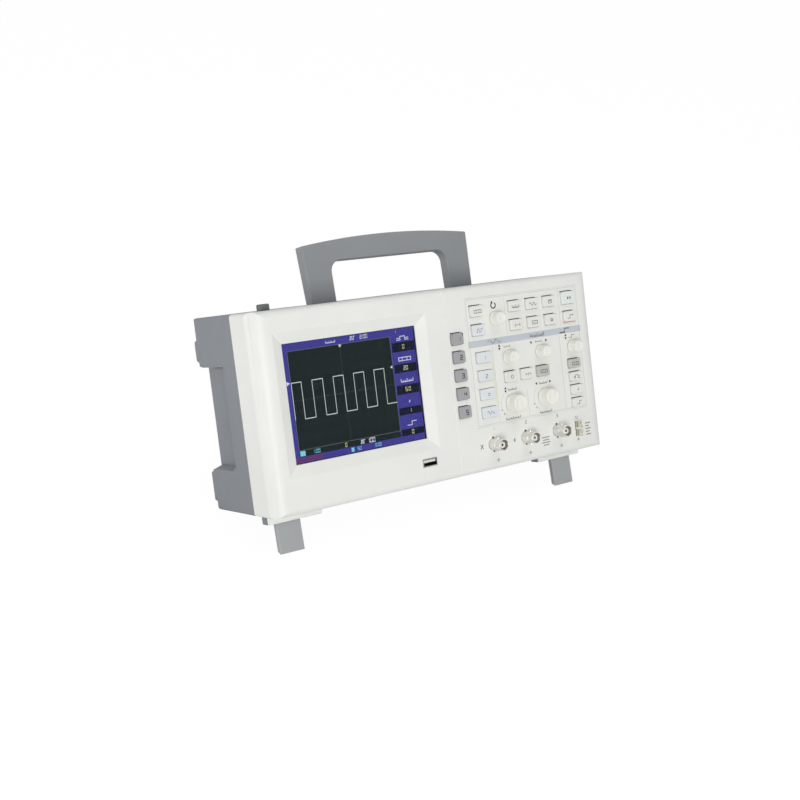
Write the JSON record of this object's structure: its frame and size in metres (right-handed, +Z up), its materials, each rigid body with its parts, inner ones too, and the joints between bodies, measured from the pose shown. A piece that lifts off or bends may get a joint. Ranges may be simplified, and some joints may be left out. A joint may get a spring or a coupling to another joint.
{
  "type": "bench oscilloscope",
  "caption": "Bench oscilloscope leaning back on fold-out legs, with a lit screen, soft keys, panel keys, knobs, coaxial jacks and a folding carrying handle.",
  "frame": {"origin": "on the table, at the centre of the overall box in plan", "axes": "+X to the right as seen from the front, +Y to the rear, +Z up; the case leans back on its front legs"},
  "size_m": [0.32, 0.1483, 0.2011],
  "materials": {
    "white_shell": "fine moulded texture",
    "grey_shell": "fine moulded texture",
    "overlay_sheet": "printed sheet",
    "clear_window": "clear",
    "display": "lit picture",
    "sheet_metal": "plain sheet",
    "circuit_board": "solder mask",
    "black_plastic": "moulded",
    "nickel": "nickel plate",
    "white_insulator": "turned",
    "gold_brass": "bright",
    "connector_steel": "stamped",
    "supply_block": "mixed parts",
    "foot_rubber": "moulded",
    "fastener_steel": "plated",
    "handle_grey": "fine moulded texture",
    "leg_grey": "fine moulded texture",
    "dark_button": "moulded",
    "white_key": "soft key cap",
    "grey_key": "soft key cap",
    "blue_key": "translucent key cap",
    "dark_key": "soft key cap",
    "knob_white": "moulded"
  },
  "bodies": {
    "case": {"front_bezel": "white_shell", "rear_case": "grey_shell", "control_overlay": "overlay_sheet", "screen_window": "clear_window", "lcd_module": "display", "chassis": "sheet_metal", "main_board": "circuit_board", "keypad_board": "circuit_board", "tact_switches": "black_plastic", "encoders": "sheet_metal", "bnc_jacks": "nickel", "bnc_insulators": "white_insulator", "bnc_contacts": "gold_brass", "probe_terminals": "gold_brass", "usb_port": "connector_steel", "power_supply": "supply_block", "power_switch": "black_plastic", "ac_inlet": "black_plastic", "ac_pins": "connector_steel", "rear_feet": "foot_rubber", "case_screws": "fastener_steel", "leg_pins": "fastener_steel", "handle_pins": "fastener_steel"},
    "handle": {"handle": "handle_grey"},
    "left_leg": {"left_leg": "leg_grey"},
    "right_leg": {"right_leg": "leg_grey"},
    "power_button": {"power_button": "dark_button"},
    "soft_key_1": {"soft_key_1": "grey_key"},
    "soft_key_2": {"soft_key_2": "grey_key"},
    "soft_key_3": {"soft_key_3": "grey_key"},
    "soft_key_4": {"soft_key_4": "grey_key"},
    "soft_key_5": {"soft_key_5": "grey_key"},
    "setup_key_1": {"setup_key_1": "white_key"},
    "setup_key_2": {"setup_key_2": "blue_key"},
    "menu_key_1": {"menu_key_1": "white_key"},
    "menu_key_2": {"menu_key_2": "white_key"},
    "menu_key_3": {"menu_key_3": "white_key"},
    "menu_key_4": {"menu_key_4": "white_key"},
    "menu_key_5": {"menu_key_5": "white_key"},
    "menu_key_6": {"menu_key_6": "white_key"},
    "run_key": {"run_key": "blue_key"},
    "auto_key": {"auto_key": "white_key"},
    "channel_key_1": {"channel_key_1": "blue_key"},
    "channel_key_2": {"channel_key_2": "blue_key"},
    "channel_key_3": {"channel_key_3": "blue_key"},
    "channel_key_4": {"channel_key_4": "blue_key"},
    "off_key": {"off_key": "white_key"},
    "zero_key": {"zero_key": "white_key"},
    "timebase_key": {"timebase_key": "dark_key"},
    "trigger_key_1": {"trigger_key_1": "dark_key"},
    "trigger_key_2": {"trigger_key_2": "white_key"},
    "trigger_key_3": {"trigger_key_3": "white_key"},
    "trigger_key_4": {"trigger_key_4": "white_key"},
    "multi_knob": {"multi_knob": "knob_white"},
    "vertical_position_knob": {"vertical_position_knob": "knob_white"},
    "horizontal_position_knob": {"horizontal_position_knob": "knob_white"},
    "trigger_knob": {"trigger_knob": "knob_white"},
    "vertical_scale_knob": {"vertical_scale_knob": "knob_white"},
    "horizontal_scale_knob": {"horizontal_scale_knob": "knob_white"}
  },
  "joints": [
    {"name": "handle_fold", "type": "hinge", "parent": "case", "child": "handle", "pos_m": [0, 0.0384, 0.14866], "axis": [-1, 0, 0], "range_deg": [0, 85.6]},
    {"name": "left_leg_fold", "type": "hinge", "parent": "case", "child": "left_leg", "pos_m": [-0.1344, -0.03882, 0.02432], "axis": [1, 0, 0], "range_deg": [0, 93.8]},
    {"name": "right_leg_fold", "type": "hinge", "parent": "case", "child": "right_leg", "pos_m": [0.1344, -0.03882, 0.02432], "axis": [1, 0, 0], "range_deg": [0, 93.8]},
    {"name": "power_press", "type": "slide", "parent": "case", "child": "power_button", "axis": [0, -0.3779, -0.9258], "range_m": [0, 0.002], "stiffness_N_per_m": 400},
    {"name": "soft_key_1_press", "type": "slide", "parent": "case", "child": "soft_key_1", "axis": [0, 0.9258, -0.3779], "range_m": [0, 0.001], "stiffness_N_per_m": 400},
    {"name": "soft_key_2_press", "type": "slide", "parent": "case", "child": "soft_key_2", "axis": [0, 0.9258, -0.3779], "range_m": [0, 0.001], "stiffness_N_per_m": 400},
    {"name": "soft_key_3_press", "type": "slide", "parent": "case", "child": "soft_key_3", "axis": [0, 0.9258, -0.3779], "range_m": [0, 0.001], "stiffness_N_per_m": 400},
    {"name": "soft_key_4_press", "type": "slide", "parent": "case", "child": "soft_key_4", "axis": [0, 0.9258, -0.3779], "range_m": [0, 0.001], "stiffness_N_per_m": 400},
    {"name": "soft_key_5_press", "type": "slide", "parent": "case", "child": "soft_key_5", "axis": [0, 0.9258, -0.3779], "range_m": [0, 0.001], "stiffness_N_per_m": 400},
    {"name": "setup_key_1_press", "type": "slide", "parent": "case", "child": "setup_key_1", "axis": [0, 0.9258, -0.3779], "range_m": [0, 0.001], "stiffness_N_per_m": 400},
    {"name": "setup_key_2_press", "type": "slide", "parent": "case", "child": "setup_key_2", "axis": [0, 0.9258, -0.3779], "range_m": [0, 0.001], "stiffness_N_per_m": 400},
    {"name": "menu_key_1_press", "type": "slide", "parent": "case", "child": "menu_key_1", "axis": [0, 0.9258, -0.3779], "range_m": [0, 0.001], "stiffness_N_per_m": 400},
    {"name": "menu_key_2_press", "type": "slide", "parent": "case", "child": "menu_key_2", "axis": [0, 0.9258, -0.3779], "range_m": [0, 0.001], "stiffness_N_per_m": 400},
    {"name": "menu_key_3_press", "type": "slide", "parent": "case", "child": "menu_key_3", "axis": [0, 0.9258, -0.3779], "range_m": [0, 0.001], "stiffness_N_per_m": 400},
    {"name": "menu_key_4_press", "type": "slide", "parent": "case", "child": "menu_key_4", "axis": [0, 0.9258, -0.3779], "range_m": [0, 0.001], "stiffness_N_per_m": 400},
    {"name": "menu_key_5_press", "type": "slide", "parent": "case", "child": "menu_key_5", "axis": [0, 0.9258, -0.3779], "range_m": [0, 0.001], "stiffness_N_per_m": 400},
    {"name": "menu_key_6_press", "type": "slide", "parent": "case", "child": "menu_key_6", "axis": [0, 0.9258, -0.3779], "range_m": [0, 0.001], "stiffness_N_per_m": 400},
    {"name": "run_key_press", "type": "slide", "parent": "case", "child": "run_key", "axis": [0, 0.9258, -0.3779], "range_m": [0, 0.001], "stiffness_N_per_m": 400},
    {"name": "auto_key_press", "type": "slide", "parent": "case", "child": "auto_key", "axis": [0, 0.9258, -0.3779], "range_m": [0, 0.001], "stiffness_N_per_m": 400},
    {"name": "channel_key_1_press", "type": "slide", "parent": "case", "child": "channel_key_1", "axis": [0, 0.9258, -0.3779], "range_m": [0, 0.001], "stiffness_N_per_m": 400},
    {"name": "channel_key_2_press", "type": "slide", "parent": "case", "child": "channel_key_2", "axis": [0, 0.9258, -0.3779], "range_m": [0, 0.001], "stiffness_N_per_m": 400},
    {"name": "channel_key_3_press", "type": "slide", "parent": "case", "child": "channel_key_3", "axis": [0, 0.9258, -0.3779], "range_m": [0, 0.001], "stiffness_N_per_m": 400},
    {"name": "channel_key_4_press", "type": "slide", "parent": "case", "child": "channel_key_4", "axis": [0, 0.9258, -0.3779], "range_m": [0, 0.001], "stiffness_N_per_m": 400},
    {"name": "off_key_press", "type": "slide", "parent": "case", "child": "off_key", "axis": [0, 0.9258, -0.3779], "range_m": [0, 0.001], "stiffness_N_per_m": 400},
    {"name": "zero_key_press", "type": "slide", "parent": "case", "child": "zero_key", "axis": [0, 0.9258, -0.3779], "range_m": [0, 0.001], "stiffness_N_per_m": 400},
    {"name": "timebase_key_press", "type": "slide", "parent": "case", "child": "timebase_key", "axis": [0, 0.9258, -0.3779], "range_m": [0, 0.001], "stiffness_N_per_m": 400},
    {"name": "trigger_key_1_press", "type": "slide", "parent": "case", "child": "trigger_key_1", "axis": [0, 0.9258, -0.3779], "range_m": [0, 0.001], "stiffness_N_per_m": 400},
    {"name": "trigger_key_2_press", "type": "slide", "parent": "case", "child": "trigger_key_2", "axis": [0, 0.9258, -0.3779], "range_m": [0, 0.001], "stiffness_N_per_m": 400},
    {"name": "trigger_key_3_press", "type": "slide", "parent": "case", "child": "trigger_key_3", "axis": [0, 0.9258, -0.3779], "range_m": [0, 0.001], "stiffness_N_per_m": 400},
    {"name": "trigger_key_4_press", "type": "slide", "parent": "case", "child": "trigger_key_4", "axis": [0, 0.9258, -0.3779], "range_m": [0, 0.001], "stiffness_N_per_m": 400},
    {"name": "multi_knob_turn", "type": "hinge", "parent": "case", "child": "multi_knob", "pos_m": [0.0548, -0.02667, 0.152], "axis": [0, -0.9258, 0.3779], "continuous": true},
    {"name": "vertical_position_knob_turn", "type": "hinge", "parent": "case", "child": "vertical_position_knob", "pos_m": [0.0641, -0.03876, 0.12237], "axis": [0, -0.9258, 0.3779], "continuous": true},
    {"name": "horizontal_position_knob_turn", "type": "hinge", "parent": "case", "child": "horizontal_position_knob", "pos_m": [0.0983, -0.03876, 0.12237], "axis": [0, -0.9258, 0.3779], "continuous": true},
    {"name": "trigger_knob_turn", "type": "hinge", "parent": "case", "child": "trigger_knob", "pos_m": [0.1333, -0.03876, 0.12237], "axis": [0, -0.9258, 0.3779], "continuous": true},
    {"name": "vertical_scale_knob_turn", "type": "hinge", "parent": "case", "child": "vertical_scale_knob", "pos_m": [0.0641, -0.05282, 0.08793], "axis": [0, -0.9258, 0.3779], "continuous": true},
    {"name": "horizontal_scale_knob_turn", "type": "hinge", "parent": "case", "child": "horizontal_scale_knob", "pos_m": [0.0983, -0.05282, 0.08793], "axis": [0, -0.9258, 0.3779], "continuous": true}
  ]
}
